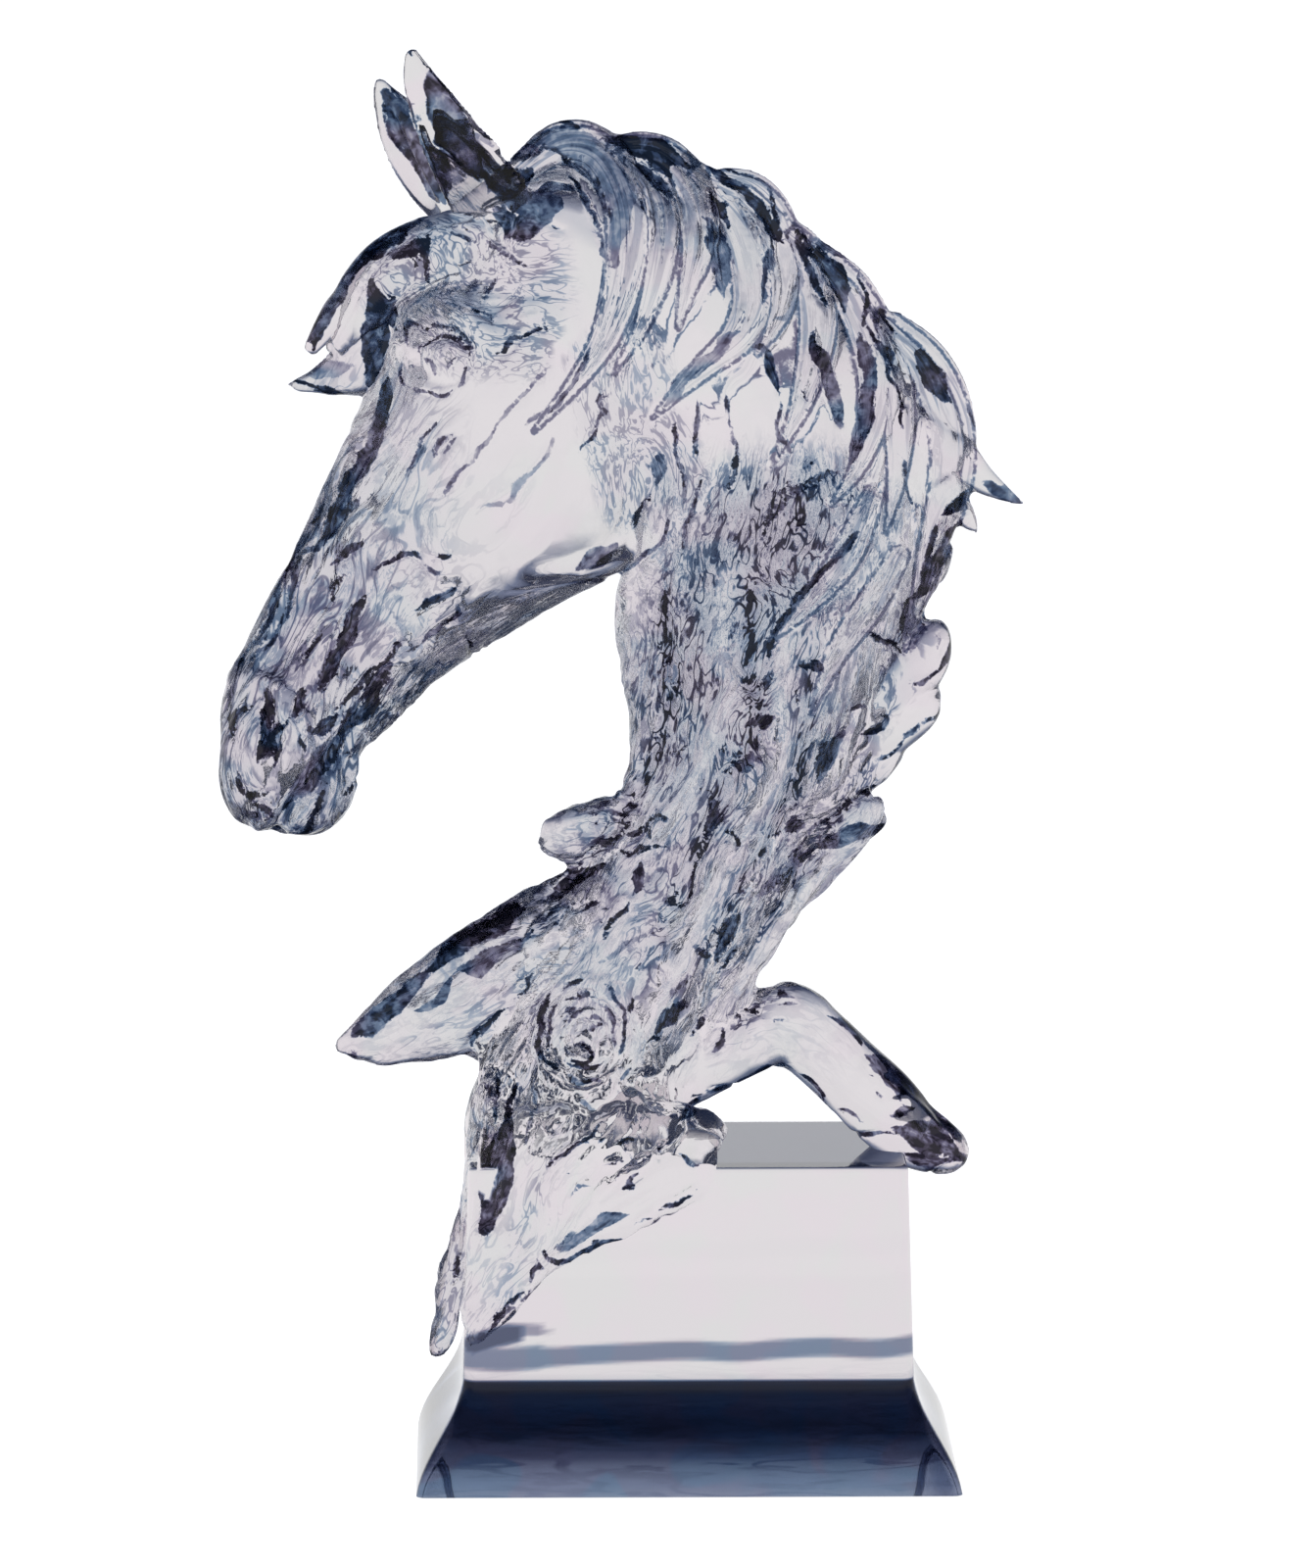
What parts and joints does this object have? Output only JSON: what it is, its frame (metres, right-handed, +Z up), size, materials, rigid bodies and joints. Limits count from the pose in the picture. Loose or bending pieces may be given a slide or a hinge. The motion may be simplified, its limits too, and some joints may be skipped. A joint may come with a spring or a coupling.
{
  "type": "horse head sculpture",
  "caption": "Clear resin casting of a horse's head and neck growing out of driftwood whose roots grip a rectangular plinth with a flared foot.",
  "frame": {"origin": "middle of the plinth's underside", "axes": "+Z up, -X the way the horse looks, -Y its dressed side"},
  "size_m": [0.2465, 0.1184, 0.4392],
  "materials": {
    "clear_resin": "polished, clear"
  },
  "bodies": {
    "root": {"horse_head_on_plinth": "clear_resin"}
  },
  "joints": []
}
